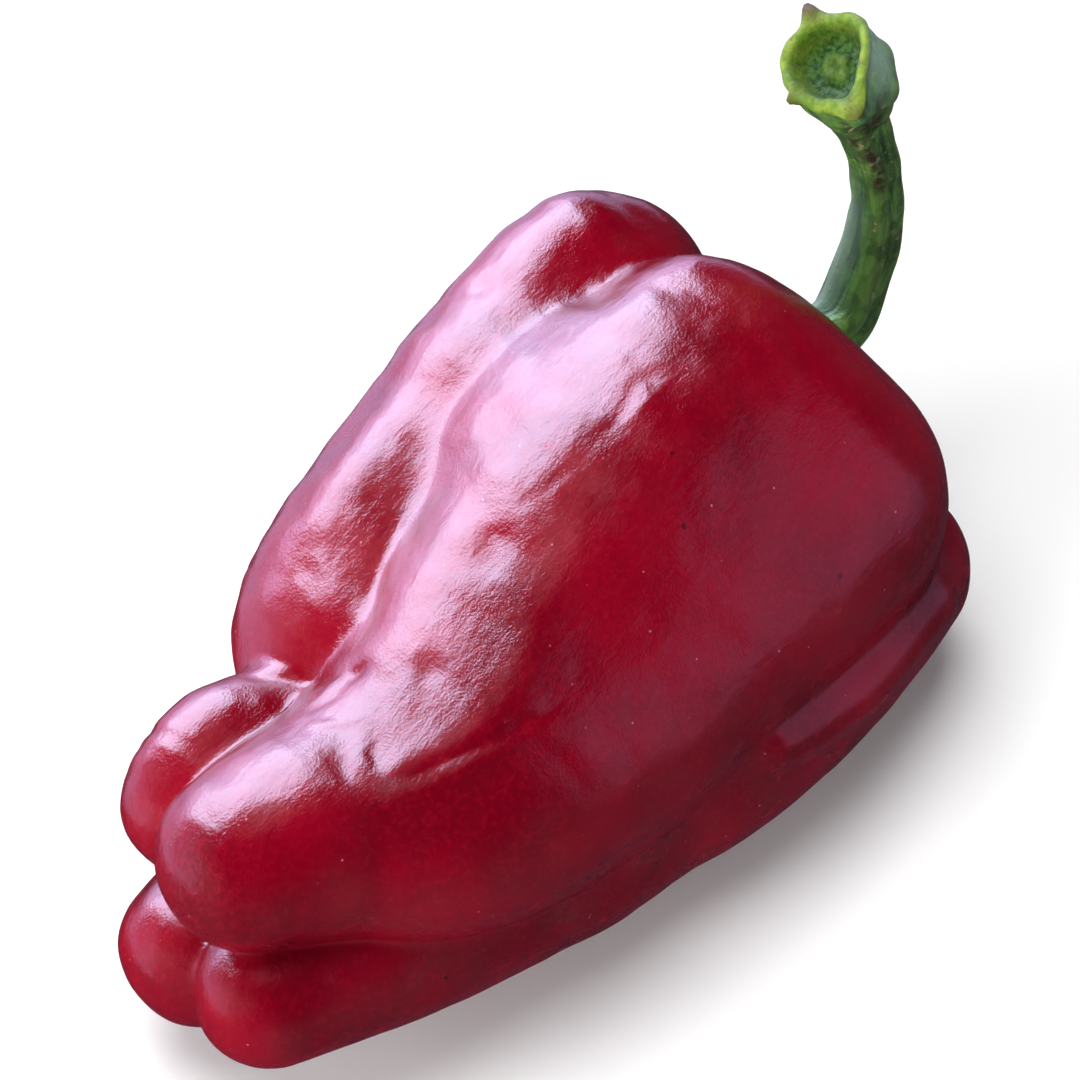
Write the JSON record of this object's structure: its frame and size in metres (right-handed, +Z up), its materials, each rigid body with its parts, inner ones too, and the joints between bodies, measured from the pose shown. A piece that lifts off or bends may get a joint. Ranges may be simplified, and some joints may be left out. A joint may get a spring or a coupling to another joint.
{
  "type": "sweet bell pepper",
  "caption": "Ripe red lobed bell pepper with its green calyx and curved cut stem, lying on its side on two of its lobes.",
  "frame": {"origin": "bottom centre of the pepper's box as it lies, on the surface that it rests on", "axes": "+X along the fruit from the blossom end to the stem end, +Z up"},
  "size_m": [0.1534, 0.0806, 0.0935],
  "materials": {
    "pepper_skin": "smooth waxy crimson skin with soft dents, fine wrinkles and tiny pale specks",
    "calyx_green": "satin green with fine veins",
    "stem_green": "ribbed green with brown scars, pale waxy bloom and a cut face"
  },
  "bodies": {
    "root": {"fruit": "pepper_skin", "calyx": "calyx_green", "stem": "stem_green"}
  },
  "joints": []
}
